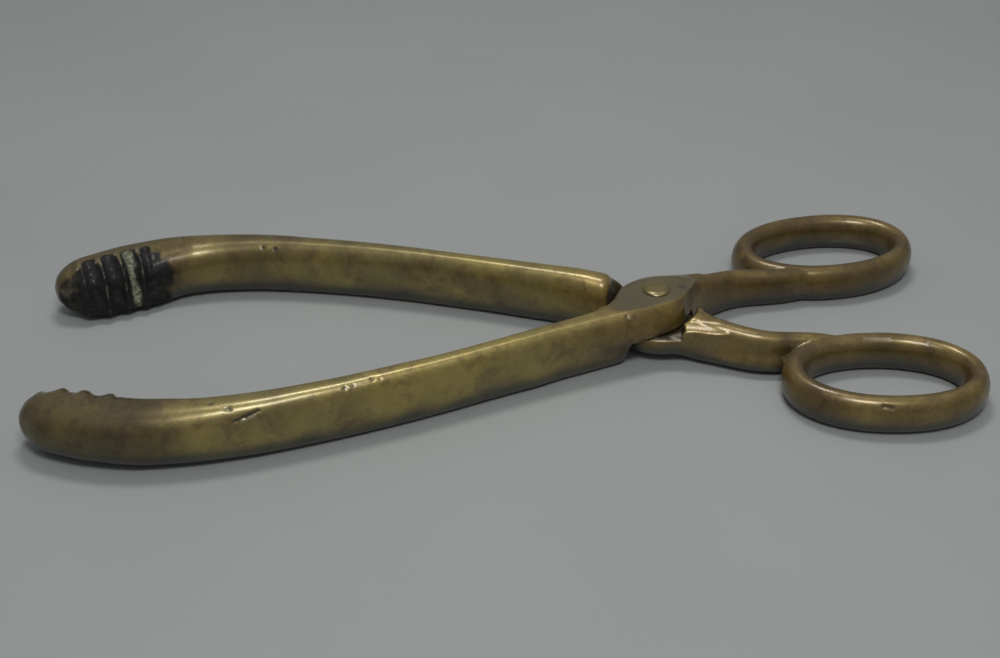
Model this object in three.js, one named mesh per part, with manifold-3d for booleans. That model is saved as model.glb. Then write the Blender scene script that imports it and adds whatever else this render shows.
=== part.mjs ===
// Scissor-pattern crucible tongs in cast brass: two levers, half-lapped and riveted.
//
// Frame: millimetres, +Z up, the tongs lying flat. The pivot axis is X = Y = 0, the
// resting plane is Z = 0, the jaws point along -X and the finger bows along +X.
// The upper lever has its jaw arm on the -Y side and its bow on the +Y side, and it
// crosses on top at the joint. The lower lever is its counterpart.

import * as THREE from 'three';
import Module from 'manifold-3d';

const wasm = await Module();
wasm.setup();

// ---------------------------------------------------------------- dimensions

const MID = 8.6;            // height of the lap plane
const TOP = 17.0;           // filed flat on top of the joint; the lower flat is Z = 0
const LAP_GAP = 0.15;       // each lap stops this far short of the lap plane

// jaw arm and lap: X, distance of the centre line from the middle, full width,
// underside height, top height, section exponent
const ARM = [
  [-165.9, 28.4, 12.6, 0.6, 15.0, 2.2],
  [-160.0, 30.6, 16.0, 0.2, 15.4, 2.2],
  [-154.0, 32.9, 17.6, 0.0, 15.7, 2.2],
  [-148.0, 35.2, 18.0, 0.0, 15.9, 2.3],
  [-142.0, 37.1, 17.2, 0.0, 16.1, 2.3],
  [-134.0, 39.1, 15.4, 0.0, 16.3, 2.4],
  [-122.8, 39.9, 12.8, 0.0, 16.5, 2.4],
  [-110.0, 38.9, 10.8, 0.0, 16.7, 2.5],
  [-96.2, 36.3, 9.5, 0.0, 16.8, 2.5],
  [-80.0, 32.2, 8.6, 0.0, 16.8, 2.5],
  [-63.0, 27.0, 8.1, 0.0, 16.8, 2.5],
  [-46.0, 21.0, 8.1, 0.0, 16.8, 2.5],
  [-29.9, 15.2, 8.6, 0.0, 16.9, 2.5],
  [-20.0, 11.7, 9.3, 0.0, 17.0, 2.5],
  [-12.5, 9.0, 10.2, -0.1, 17.2, 2.5],
  [-7.0, 6.8, 10.8, -0.3, 17.5, 2.5],
  [-2.0, 4.1, 10.8, -0.3, 17.5, 2.5],
  [2.5, 0.2, 10.6, -0.3, 17.5, 2.5],
  [6.0, -4.0, 10.2, -0.2, 17.4, 2.5],
  [9.5, -7.6, 9.0, 0.1, 16.8, 2.4],
  [13.0, -9.7, 7.8, 0.4, 15.4, 2.3],
  [17.0, -11.7, 7.2, 0.6, 13.9, 2.3],
  [21.0, -13.6, 6.8, 0.7, 12.9, 2.3],
  [25.0, -15.2, 6.4, 0.7, 12.3, 2.3],
  [30.0, -16.0, 6.0, 0.7, 11.9, 2.3],
  [36.0, -16.1, 5.8, 0.7, 11.8, 2.3],
  [42.0, -16.4, 5.5, 0.7, 11.8, 2.3],
  [48.0, -16.9, 5.0, 0.8, 11.7, 2.3],
];
const TIP_ROUND = 9.0;      // length over which the jaw tip rounds off

// four rounded ridges across the gripping side of each jaw
const RIDGES = [-159.2, -154.1, -148.9, -143.6];
const GROOVE_DEPTH = 1.7;
const GROOVE_ENDS = [-161.9, -140.6];

// finger bow: an oval loop
const BOW = { x: 56.0, y: 31.7, a: 23.4, b: 14.3, tilt: 5.4, n: 2.1, zMid: 6.25, high: 11.2,
              heel: 6.0, side: 5.5, toe: 4.9 };

// boss around the pivot and the recess that the other lever's boss turns in
const BOSS = { x: -2.2, y: 0.6, rx: 10.4, ry: 11.2, half: 9.6, n: 2.6 };
const SHOULDER_R = 13.4;    // arm-side shoulder
const LEDGE_R = 10.45;      // shank-side shoulder at the lap plane
const LEDGE_TOP_R = 13.2;   // and at the flat
const SHANK_SECTOR = [8, 60];   // directions from the pivot that the shank takes up, in degrees

// rivet
const RIVET_R = 2.6;
const RIVET_HOLE_R = 2.66;
const RIVET_HEAD_R = 3.85;
const RIVET_HEAD_H = 1.15;
const RIVET_CSK_R = 3.9;

const DEG = Math.PI / 180;

// ---------------------------------------------------------------- helpers

function interp(table, col, x) {
  // monotone cubic through the table's rows
  const n = table.length;
  const xs = table.map((r) => r[0]);
  const ys = table.map((r) => r[col]);
  let i = 0;
  while (i < n - 2 && x > xs[i + 1]) i++;
  const slope = (k) => (ys[k + 1] - ys[k]) / (xs[k + 1] - xs[k]);
  const tangent = (k) => {
    if (k === 0) return slope(0);
    if (k === n - 1) return slope(n - 2);
    const a = slope(k - 1), b = slope(k);
    if (a * b <= 0) return 0;
    const h0 = xs[k] - xs[k - 1], h1 = xs[k + 1] - xs[k];
    const w1 = 2 * h1 + h0, w2 = h1 + 2 * h0;
    return (w1 + w2) / (w1 / a + w2 / b);
  };
  const h = xs[i + 1] - xs[i];
  const t = (x - xs[i]) / h;
  const t2 = t * t, t3 = t2 * t;
  return (2 * t3 - 3 * t2 + 1) * ys[i] + (t3 - 2 * t2 + t) * h * tangent(i) +
         (-2 * t3 + 3 * t2) * ys[i + 1] + (t3 - t2) * h * tangent(i + 1);
}

const spow = (v, p) => Math.sign(v) * Math.pow(Math.abs(v), p);

function solid(positions, triangles) {
  // closed mesh to manifold, turned right side out
  let volume = 0;
  const P = (i) => [positions[3 * i], positions[3 * i + 1], positions[3 * i + 2]];
  for (let k = 0; k < triangles.length; k += 3) {
    const [a, b, c] = [P(triangles[k]), P(triangles[k + 1]), P(triangles[k + 2])];
    volume += a[0] * (b[1] * c[2] - b[2] * c[1]) - a[1] * (b[0] * c[2] - b[2] * c[0]) + a[2] * (b[0] * c[1] - b[1] * c[0]);
  }
  const tri = new Uint32Array(triangles);
  if (volume < 0) for (let k = 0; k < tri.length; k += 3) { const s = tri[k + 1]; tri[k + 1] = tri[k + 2]; tri[k + 2] = s; }
  return new wasm.Manifold(new wasm.Mesh({ numProp: 3, vertProperties: new Float32Array(positions), triVerts: tri }));
}

function sweep(sections, closed) {
  // sections: arrays of [x, y, z] with equal counts
  const m = sections.length, k = sections[0].length;
  const pos = [], tri = [];
  for (const s of sections) for (const p of s) pos.push(...p);
  const last = closed ? m : m - 1;
  for (let i = 0; i < last; i++) {
    const j = (i + 1) % m;
    for (let a = 0; a < k; a++) {
      const b = (a + 1) % k;
      tri.push(i * k + a, i * k + b, j * k + b, i * k + a, j * k + b, j * k + a);
    }
  }
  if (!closed) {
    for (const [row, flip] of [[0, false], [m - 1, true]]) {
      const c = [0, 0, 0];
      for (const p of sections[row]) for (let q = 0; q < 3; q++) c[q] += p[q] / k;
      const id = pos.length / 3;
      pos.push(...c);
      for (let a = 0; a < k; a++) {
        const b = (a + 1) % k;
        if (flip) tri.push(id, row * k + a, row * k + b); else tri.push(id, row * k + b, row * k + a);
      }
    }
  }
  return solid(pos, tri);
}

function revolve(profile, count, sx = 1, sy = 1, cx = 0, cy = 0) {
  // profile: [r, z] from the axis at the bottom to the axis at the top
  const pos = [], tri = [];
  const rows = profile.filter((p) => p[0] > 1e-9);
  for (const [r, z] of rows) for (let a = 0; a < count; a++) {
    const t = 2 * Math.PI * a / count;
    pos.push(cx + sx * r * Math.cos(t), cy + sy * r * Math.sin(t), z);
  }
  for (let i = 0; i < rows.length - 1; i++) for (let a = 0; a < count; a++) {
    const b = (a + 1) % count;
    tri.push(i * count + a, i * count + b, (i + 1) * count + b, i * count + a, (i + 1) * count + b, (i + 1) * count + a);
  }
  const lo = pos.length / 3;
  pos.push(cx, cy, profile[0][1]);
  const hi = pos.length / 3;
  pos.push(cx, cy, profile[profile.length - 1][1]);
  const top = (rows.length - 1) * count;
  for (let a = 0; a < count; a++) {
    const b = (a + 1) % count;
    tri.push(lo, b, a, hi, top + a, top + b);
  }
  return solid(pos, tri);
}

const cylinder = (r, z0, z1, count = 64, cx = 0, cy = 0) => revolve([[0, z0], [r, z0], [r, z1], [0, z1]], count, 1, 1, cx, cy);

function box(x0, y0, z0, x1, y1, z1) {
  const pos = [];
  for (const z of [z0, z1]) for (const [x, y] of [[x0, y0], [x1, y0], [x1, y1], [x0, y1]]) pos.push(x, y, z);
  const tri = [0, 2, 1, 0, 3, 2, 4, 5, 6, 4, 6, 7];
  for (let a = 0; a < 4; a++) { const b = (a + 1) % 4; tri.push(a, b, b + 4, a, b + 4, a + 4); }
  return solid(pos, tri);
}

// ---------------------------------------------------------------- lever parts

function grooveDepth(x) {
  // 0 on a ridge's crest and outside the gripping side, GROOVE_DEPTH in a groove
  if (x <= GROOVE_ENDS[0] - 1.2 || x >= GROOVE_ENDS[1] + 1.6) return 0;
  const valleys = [GROOVE_ENDS[0], ...RIDGES.slice(0, -1).map((r, i) => (r + RIDGES[i + 1]) / 2), GROOVE_ENDS[1]];
  let d = 0;
  for (const v of valleys) {
    const half = v === GROOVE_ENDS[0] ? 1.3 : v === GROOVE_ENDS[1] ? 1.7 : 1.9;
    const u = Math.abs(x - v) / half;
    const full = v === GROOVE_ENDS[0] ? 0.45 : v === GROOVE_ENDS[1] ? 0.8 : 1;
    if (u < 1) d = Math.max(d, full * Math.sqrt(1 - u * u));
  }
  return GROOVE_DEPTH * d;
}

function armStations() {
  const xs = [];
  const first = ARM[0][0];
  for (const d of [0, 0.12, 0.5, 1.2, 2.2, 3.2]) xs.push(first + d);
  for (let i = 0; i <= 29; i++) xs.push(-162.0 + i * 0.82);
  for (const x of [-136, -132, -127, -122, -116, -110, -103, -96, -88, -80, -70, -60, -50, -40, -31, -24, -18, -13, -9, -5,
                   -2, 1, 3.5, 6, 8.5, 11, 13.5, 16, 18.5, 21, 24, 27, 30, 33, 36, 39, 42, 45, 48]) xs.push(x);
  return xs;
}

function armSections(side, around = 16) {
  const y = (x) => interp(ARM, 1, x);
  return armStations().map((x) => {
    const e = 0.05;
    const x0 = Math.max(x - e, ARM[0][0]), x1 = Math.min(x + e, ARM[ARM.length - 1][0]);
    let tx = x1 - x0, ty = y(x1) - y(x0);
    const len = Math.hypot(tx, ty);
    tx /= len; ty /= len;
    const s = Math.max(0, x - ARM[0][0]);
    const k = s < TIP_ROUND ? Math.sqrt(Math.max(0, 1 - (1 - s / TIP_ROUND) ** 2)) : 1;
    const kw = 0.05 + 0.95 * k, kh = 0.16 + 0.84 * Math.pow(k, 0.8);
    const lo = interp(ARM, 3, x), hi = interp(ARM, 4, x), n = interp(ARM, 5, x);
    const w = interp(ARM, 2, x) / 2 * kw, h = (hi - lo) / 2 * kh, zc = (hi + lo) / 2;
    const g = grooveDepth(x);
    const pts = [];
    for (let a = 0; a < around; a++) {
      const t = 2 * Math.PI * (a + 0.5) / around;
      let u = w * spow(Math.cos(t), 2 / n);       // + is away from the other lever
      let v = h * spow(Math.sin(t), 2 / n);
      if (g > 0 && u < 0.35 * w) {
        const cut = g * Math.min(1, (0.35 * w - u) / (0.5 * w));
        const r = Math.hypot(u, v);
        u -= u / r * cut; v -= v / r * cut;
      }
      pts.push([x - ty * u, side * (y(x) + tx * u), zc + v]);
    }
    return pts;
  });
}

function bowSections(side, count = 44, around = 12) {
  const out = [];
  const at = (t) => {
    const ex = BOW.a * spow(Math.cos(t), 2 / BOW.n), ey = BOW.b * spow(Math.sin(t), 2 / BOW.n);
    const c = Math.cos(BOW.tilt * DEG), s = Math.sin(BOW.tilt * DEG);
    return [BOW.x + ex * c - ey * s, BOW.y + ex * s + ey * c];
  };
  for (let i = 0; i < count; i++) {
    const t = 2 * Math.PI * (i + 0.5) / count;
    const [px, py] = at(t), [ax, ay] = at(t - 0.01), [bx, by] = at(t + 0.01);
    const len = Math.hypot(bx - ax, by - ay);
    const tx = (bx - ax) / len, ty = (by - ay) / len;
    const c = Math.cos(t);
    const w = (c > 0 ? BOW.side + (BOW.toe - BOW.side) * c * c : BOW.side + (BOW.heel - BOW.side) * c * c) / 2;
    const pts = [];
    for (let a = 0; a < around; a++) {
      const q = 2 * Math.PI * (a + 0.5) / around;
      const u = w * spow(Math.cos(q), 2 / 2.3), v = BOW.high / 2 * spow(Math.sin(q), 2 / 2.3);
      pts.push([px + ty * u, side * (py - tx * u), BOW.zMid + v]);
    }
    out.push(pts);
  }
  return out;
}

function boss(side) {
  const profile = [];
  const steps = 7;
  for (let i = 0; i <= 2 * steps; i++) {
    const t = -Math.PI / 2 + Math.PI * i / (2 * steps);
    const r = i === 0 || i === 2 * steps ? 0 : Math.pow(Math.cos(t), 2 / BOSS.n);
    profile.push([r, MID + BOSS.half * spow(Math.sin(t), 2 / BOSS.n)]);
  }
  return revolve(profile, 40, BOSS.rx, BOSS.ry, BOSS.x, -side * BOSS.y);
}

function recess(side, up) {
  // what is taken out of one lever so that the other's lap can lie and turn there.
  // up = 1 takes the upper half away, up = -1 the lower half.
  const from = MID - up * LAP_GAP, to = MID + up * 12;
  const ledgeTop = MID + up * (TOP - MID);
  const order = (list) => (up > 0 ? list : list.slice().reverse());
  const cone = revolve(order([[0, from], [LEDGE_R, from], [LEDGE_TOP_R, ledgeTop], [LEDGE_TOP_R + 0.6, to], [0, to]]), 64);
  let round = revolve(order([[0, from], [SHOULDER_R, from], [SHOULDER_R, to], [0, to]]), 72);
  // keep the full-radius recess out of the shank's own sector
  const q = [], far = 40;
  const corner = (deg) => [far * Math.cos(-side * deg * DEG), far * Math.sin(-side * deg * DEG)];
  const plan = [[0, 0], corner(SHANK_SECTOR[0]), corner((SHANK_SECTOR[0] + SHANK_SECTOR[1]) / 2), corner(SHANK_SECTOR[1])];
  for (const z of [-10, 30]) for (const [u, v] of plan) q.push(u, v, z);
  const tri = [0, 2, 1, 0, 3, 2, 4, 5, 6, 4, 6, 7];
  for (let i = 0; i < 4; i++) { const j = (i + 1) % 4; tri.push(i, j, j + 4, i, j + 4, i + 4); }
  round = round.subtract(solid(q, tri));
  return cone.add(round);
}

function lever(side, up) {
  // side: which side of the middle the jaw arm is on; up: which half of the joint it keeps
  let body = sweep(armSections(side), false)
    .add(sweep(bowSections(-side), true))
    .add(boss(side));
  body = body.intersect(box(-300, -200, 0, 300, 200, TOP));
  body = body.subtract(recess(side, -up));
  body = body.subtract(cylinder(RIVET_HOLE_R, -5, 30, 32));
  if (up < 0) body = body.subtract(revolve([[0, -1], [RIVET_CSK_R + 0.06 + 1, -1], [RIVET_HOLE_R, 1.4], [0, 1.4]], 32));
  return body;
}

function rivet() {
  const p = [[0, 0], [RIVET_CSK_R, 0], [RIVET_R, 1.30], [RIVET_R, TOP + 0.04], [RIVET_HEAD_R - 0.15, TOP + 0.04],
             [RIVET_HEAD_R, TOP + 0.22], [RIVET_HEAD_R - 0.02, TOP + 0.42]];
  for (const t of [18, 38, 58, 76]) {
    p.push([(RIVET_HEAD_R - 0.05) * Math.cos(t * DEG), TOP + 0.42 + (RIVET_HEAD_H - 0.42) * Math.sin(t * DEG)]);
  }
  p.push([0, TOP + RIVET_HEAD_H]);
  return revolve(p, 32);
}

// ---------------------------------------------------------------- assembly

function mesh(name, manifold, color, roughness, metalness) {
  const m = manifold.getMesh();
  const g = new THREE.BufferGeometry();
  const pos = new Float32Array(m.numVert * 3);
  for (let i = 0; i < m.numVert; i++) for (let q = 0; q < 3; q++) pos[3 * i + q] = m.vertProperties[i * m.numProp + q];
  g.setAttribute('position', new THREE.BufferAttribute(pos, 3));
  g.setIndex(Array.from(m.triVerts));
  g.computeVertexNormals();
  const out = new THREE.Mesh(g, new THREE.MeshStandardMaterial({ color, roughness, metalness }));
  out.name = name;
  return out;
}

const group = new THREE.Group();
group.name = 'crucible_tongs';
group.add(mesh('upper_lever', lever(-1, 1), 0x8a7440, 0.42, 1.0));
group.add(mesh('lower_lever', lever(1, -1), 0x8a7440, 0.42, 1.0));
group.add(mesh('pivot_rivet', rivet(), 0x867042, 0.45, 1.0));

export default group;
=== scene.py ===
# Crucible tongs in aged cast brass: fine surfaces, materials, light and camera
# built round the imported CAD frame. Everything is in metres in the row frame; the
# lever shapes are worked out in millimetres and scaled at the end.

import math

import bpy
import numpy as np
from mathutils import Matrix


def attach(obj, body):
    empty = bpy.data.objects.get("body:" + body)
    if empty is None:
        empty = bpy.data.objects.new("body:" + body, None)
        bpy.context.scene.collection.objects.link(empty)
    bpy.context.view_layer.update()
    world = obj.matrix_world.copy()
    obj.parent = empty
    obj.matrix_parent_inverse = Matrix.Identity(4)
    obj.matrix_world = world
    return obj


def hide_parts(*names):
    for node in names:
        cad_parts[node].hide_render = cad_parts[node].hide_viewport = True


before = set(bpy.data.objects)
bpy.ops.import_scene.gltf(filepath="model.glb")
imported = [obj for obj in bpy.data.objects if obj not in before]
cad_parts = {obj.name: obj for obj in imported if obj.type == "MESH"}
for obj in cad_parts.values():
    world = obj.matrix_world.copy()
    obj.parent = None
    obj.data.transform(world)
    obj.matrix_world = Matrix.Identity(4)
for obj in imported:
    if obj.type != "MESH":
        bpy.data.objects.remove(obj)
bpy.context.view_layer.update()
PITCH = 0.435     # spacing of the surface mesh, mm

# ------------------------------------------------------------------ dimensions, mm
MID, TOP, LAP_GAP = 8.6, 17.0, 0.15
ARM = np.array([
    [-165.9, 28.4, 12.6, 0.6, 15.0, 2.2],
    [-160.0, 30.6, 16.0, 0.2, 15.4, 2.2],
    [-154.0, 32.9, 17.6, 0.0, 15.7, 2.2],
    [-148.0, 35.2, 18.0, 0.0, 15.9, 2.3],
    [-142.0, 37.1, 17.2, 0.0, 16.1, 2.3],
    [-134.0, 39.1, 15.4, 0.0, 16.3, 2.4],
    [-122.8, 39.9, 12.8, 0.0, 16.5, 2.4],
    [-110.0, 38.9, 10.8, 0.0, 16.7, 2.5],
    [-96.2, 36.3, 9.5, 0.0, 16.8, 2.5],
    [-80.0, 32.2, 8.6, 0.0, 16.8, 2.5],
    [-63.0, 27.0, 8.1, 0.0, 16.8, 2.5],
    [-46.0, 21.0, 8.1, 0.0, 16.8, 2.5],
    [-29.9, 15.2, 8.6, 0.0, 16.9, 2.5],
    [-20.0, 11.7, 9.3, 0.0, 17.0, 2.5],
    [-12.5, 9.0, 10.2, -0.1, 17.2, 2.5],
    [-7.0, 6.8, 10.8, -0.3, 17.5, 2.5],
    [-2.0, 4.1, 10.8, -0.3, 17.5, 2.5],
    [2.5, 0.2, 10.6, -0.3, 17.5, 2.5],
    [6.0, -4.0, 10.0, -0.2, 16.2, 2.5],
    [9.5, -7.6, 8.6, 0.0, 14.7, 2.4],
    [13.0, -9.7, 7.8, 0.0, 13.9, 2.3],
    [17.0, -11.7, 7.2, 0.0, 13.2, 2.3],
    [21.0, -13.6, 6.8, 0.0, 12.5, 2.3],
    [25.0, -15.2, 6.6, 0.0, 11.9, 2.3],
    [30.0, -16.0, 6.4, 0.0, 11.3, 2.3],
    [36.0, -16.1, 6.0, 0.1, 11.0, 2.3],
    [42.0, -16.4, 5.6, 0.2, 10.7, 2.3],
    [48.0, -16.9, 5.0, 0.4, 10.5, 2.3],
])
TIP_ROUND = 9.0
RIDGES = {-1: [-159.2, -154.1, -148.9, -143.6], 1: [-162.4, -157.6, -151.9, -145.0]}
GROOVE_DEPTH = 1.65
BOW = dict(x=55.8, y=31.7, a=23.8, b=14.3, tilt=5.4, n=2.1, z_mid=5.15, high=10.5, heel=6.7, side=6.7, toe=6.2)
SHOULDER_R, LEDGE_R, LEDGE_TOP_R = 13.4, 10.45, 13.2
SHANK_SECTOR = (8.0, 60.0)
RIVET_R, RIVET_HOLE_R, RIVET_HEAD_R, RIVET_HEAD_H, RIVET_CSK_R = 2.6, 2.66, 3.85, 1.15, 3.9

# outlines of the joint block in plan: at the filed flat and at the lap plane.
# They are given for the upper lever, whose jaw arm is on the -Y side.
FLAT = np.array([
    [-16.5, -8.6], [-14.2, -6.4], [-12.0, -3.8], [-10.3, -0.9], [-8.6, 2.3], [-6.1, 4.1], [-3.0, 5.3], [0.0, 6.0],
    [3.5, 6.2], [7.5, 5.9], [10.6, 5.2], [12.0, 4.2], [11.4, 2.6], [10.2, 0.8], [8.6, -1.5], [6.8, -3.5], [4.1, -5.5],
    [0.3, -7.1], [-3.8, -8.3], [-8.0, -8.9], [-13.0, -9.2]])
LAP = np.array([
    [-18.0, -10.5], [-16.0, -7.0], [-13.4, -3.0], [-11.9, 1.0], [-10.0, 5.0], [-7.5, 8.6], [-4.0, 11.4], [0.1, 12.6],
    [4.5, 12.8], [8.4, 13.2], [12.0, 14.2], [16.0, 14.3], [17.0, 9.6], [14.0, 6.0], [11.0, 2.4], [9.5, -0.4],
    [8.8, -1.9], [6.5, -6.2], [3.6, -8.6], [0.2, -10.4], [-3.4, -12.1], [-7.0, -12.6], [-13.0, -12.9]])


# ------------------------------------------------------------------ shape helpers
def monotone(xs, ys, x):
    """Monotone cubic through the points, straight beyond the ends."""
    d = np.diff(ys) / np.diff(xs)
    h = np.diff(xs)
    m = np.empty(len(xs))
    m[0], m[-1] = d[0], d[-1]
    for k in range(1, len(xs) - 1):
        a, b = d[k - 1], d[k]
        if a * b <= 0:
            m[k] = 0
        else:
            w1, w2 = 2 * h[k] + h[k - 1], h[k] + 2 * h[k - 1]
            m[k] = (w1 + w2) / (w1 / a + w2 / b)
    i = np.clip(np.searchsorted(xs, x) - 1, 0, len(h) - 1)
    t = (x - xs[i]) / h[i]
    t2, t3 = t * t, t * t * t
    y = (2 * t3 - 3 * t2 + 1) * ys[i] + (t3 - 2 * t2 + t) * h[i] * m[i] + (-2 * t3 + 3 * t2) * ys[i + 1] + (t3 - t2) * h[i] * m[i + 1]
    y = np.where(x < xs[0], ys[0] + d[0] * (x - xs[0]), y)
    return np.where(x > xs[-1], ys[-1] + d[-1] * (x - xs[-1]), y)


def blur(y, sigma):
    n = int(4 * sigma)
    k = np.exp(-0.5 * (np.arange(-n, n + 1) / sigma) ** 2)
    k /= k.sum()
    left = y[0] + (y[1] - y[0]) * np.arange(-n, 0)
    right = y[-1] + (y[-1] - y[-2]) * np.arange(1, n + 1)
    return np.convolve(np.concatenate([left, y, right]), k, mode="valid")


SX = np.arange(-185.0, 70.0, 0.2)
C0 = blur(monotone(ARM[:, 0], ARM[:, 1], SX), 9)
C1 = np.gradient(C0, SX)
C2 = blur(np.gradient(C1, SX), 6)
WID = blur(np.interp(SX, ARM[:, 0], ARM[:, 2]), 10) / 2
LOW = blur(np.interp(SX, ARM[:, 0], ARM[:, 3]), 6)
HIG = blur(np.interp(SX, ARM[:, 0], ARM[:, 4]), 6)
EXP = np.interp(SX, ARM[:, 0], ARM[:, 5])
# towards the tip the tabled width already narrows, so the round tip starts from a fuller one
TIP_X = ARM[0, 0]


def ridge_profile(ridges):
    """How far the gripping face is cut in, along the arm."""
    g = np.zeros_like(SX)
    marks = [ridges[0] - 4.4] + ridges + [ridges[-1] + 5.4]
    full = [0.35, 1.0, 1.0, 1.0, 0.85]
    for a, b, f in zip(marks[:-1], marks[1:], full):
        t = (SX - a) / (b - a)
        on = (t >= 0) & (t <= 1)
        g = np.where(on, f * (1 - np.abs(2 * t - 1) ** 2.3), g)
    # behind the last ridge the face stays sunk and runs out slowly
    run = 0.62 * np.clip((-122.0 - SX) / 17.0, 0, 1) ** 1.3
    g = np.where(SX > ridges[-1] + 2.7, run, g)
    return np.clip(blur(g, 1.8) - 0.16, 0, 1) / 0.84 * GROOVE_DEPTH


RIDGE = {k: ridge_profile(r) for k, r in RIDGES.items()}


def sm(a, b, k):
    """Smooth minimum."""
    h = np.maximum(k - np.abs(a - b), 0.0) / k
    return np.minimum(a, b) - h * h * k * 0.25


def sM(a, b, k):
    return -sm(-a, -b, k)


def step(a, b, x):
    t = np.clip((x - a) / (b - a), 0, 1)
    return t * t * (3 - 2 * t)


def closed_curve(points, count):
    """A smooth closed curve through the points (Catmull-Rom)."""
    p = np.asarray(points, float)
    n = len(p)
    t = np.linspace(0, n, count, endpoint=False)
    i = t.astype(int)
    f = (t - i)[:, None]
    p0, p1, p2, p3 = p[(i - 1) % n], p[i % n], p[(i + 1) % n], p[(i + 2) % n]
    return 0.5 * (2 * p1 + (p2 - p0) * f + (2 * p0 - 5 * p1 + 4 * p2 - p3) * f ** 2 + (3 * p1 - p0 - 3 * p2 + p3) * f ** 3)


def polygon_distance(X, Y, poly):
    """Signed distance to a closed polygon, negative inside."""
    shape = X.shape
    x, y = X.ravel(), Y.ravel()
    best = np.full(x.shape, 1e9)
    inside = np.zeros(x.shape, bool)
    for a, b in zip(poly, np.roll(poly, -1, 0)):
        ex, ey = b - a
        px, py = x - a[0], y - a[1]
        t = np.clip((px * ex + py * ey) / (ex * ex + ey * ey), 0, 1)
        best = np.minimum(best, (px - t * ex) ** 2 + (py - t * ey) ** 2)
        crosses = (a[1] > y) != (b[1] > y)
        if ey != 0:
            inside ^= crosses & (x < a[0] + (y - a[1]) * ex / ey)
    return np.where(inside, -1, 1).reshape(shape) * np.sqrt(best).reshape(shape)


# ------------------------------------------------------------------ one lever
# Worked out with the jaw arm on the +Y side; the bow is then on the -Y side.
class Plan:
    """What depends on X and Y only, tabled on a grid and read between its points."""

    def __init__(self, h):
        self.x = np.arange(-169.0, 83.5, h)
        self.y = np.arange(-49.5, 51.5, h)
        X, Y = np.meshgrid(self.x, self.y, indexing="ij")
        s = np.clip(X.copy(), SX[0], SX[-1])
        for _ in range(14):
            c, c1, c2 = (np.interp(s, SX, k) for k in (C0, C1, C2))
            g = (X - s) + (Y - c) * c1
            gp = np.minimum(-1 - c1 * c1 + (Y - c) * c2, -0.55)
            s = s - np.clip(g / gp, -4, 4)
        c, c1 = np.interp(s, SX, C0), np.interp(s, SX, C1)
        u = ((X - s) * -c1 + (Y - c)) / np.sqrt(1 + c1 * c1)
        self.h = h
        self.S, self.U = s, u
        # finger bow
        t = np.linspace(0, 2 * np.pi, 900, endpoint=False)
        ex = BOW["a"] * np.sign(np.cos(t)) * np.abs(np.cos(t)) ** (2 / BOW["n"])
        ey = BOW["b"] * np.sign(np.sin(t)) * np.abs(np.sin(t)) ** (2 / BOW["n"])
        ct, st = math.cos(math.radians(BOW["tilt"])), math.sin(math.radians(BOW["tilt"]))
        bx, by = BOW["x"] + ex * ct - ey * st, -(BOW["y"] + ex * st + ey * ct)
        self.B = np.full(X.shape, 40.0)
        self.BC = np.zeros(X.shape)
        near = X > 22.0
        px, py = X[near], Y[near]
        signed = polygon_distance(px, py, np.stack([bx, by], 1)[::3])
        cos_t = np.zeros(len(px))
        for k in range(0, len(px), 20000):
            d = (px[k:k + 20000, None] - bx[None, ::3]) ** 2 + (py[k:k + 20000, None] - by[None, ::3]) ** 2
            cos_t[k:k + 20000] = np.cos(t[::3])[d.argmin(1)]
        self.B[near], self.BC[near] = signed, cos_t
        # joint block
        self.T = np.full(X.shape, 40.0)
        self.L = np.full(X.shape, 40.0)
        near = (X > -30) & (X < 28) & (np.abs(Y) < 26)
        flip = np.array([1.0, -1.0])
        self.T[near] = polygon_distance(X[near], Y[near], closed_curve(FLAT * flip, 220))
        self.L[near] = polygon_distance(X[near], Y[near], closed_curve(LAP * flip, 220))
        foot = np.minimum(np.abs(u) - np.interp(s, SX, WID), np.abs(self.B) - 3.6)
        foot = np.where((s < TIP_X - 1) | (s > 50), np.abs(self.B) - 3.6, foot)
        self.foot = np.minimum(foot, self.L) < 1.5

    def at(self, x, y):
        """The fields at points between the grid's."""
        fx, fy = (x - self.x[0]) / self.h, (y - self.y[0]) / self.h
        i = np.clip(fx.astype(int), 0, len(self.x) - 2)
        j = np.clip(fy.astype(int), 0, len(self.y) - 2)
        a, b = fx - i, fy - j
        out = []
        for f in (self.S, self.U, self.B, self.BC, self.T, self.L):
            out.append((f[i, j] * (1 - b) + f[i, j + 1] * b) * (1 - a) + (f[i + 1, j] * (1 - b) + f[i + 1, j + 1] * b) * a)
        return [x, y] + out


TRIM_S, TRIM = [-36.0, -28.0, -20.0, -14.0, -9.0, -5.0, 0.0, 3.0, 8.0], [0.0, 0.7, 0.9, 1.2, 1.9, 2.8, 3.2, 2.0, 0.0]
FULL_S, FULL = [2.0, 8.0, 14.0, 20.0, 26.0, 31.0, 36.0, 42.0], [0.0, 0.7, 1.1, 1.5, 1.9, 2.1, 1.3, 0.0]
ZETA_TOP = {1: TOP - MID, -1: MID}
FLAT_H, FLAT_N = 9.7, 2.3


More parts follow.
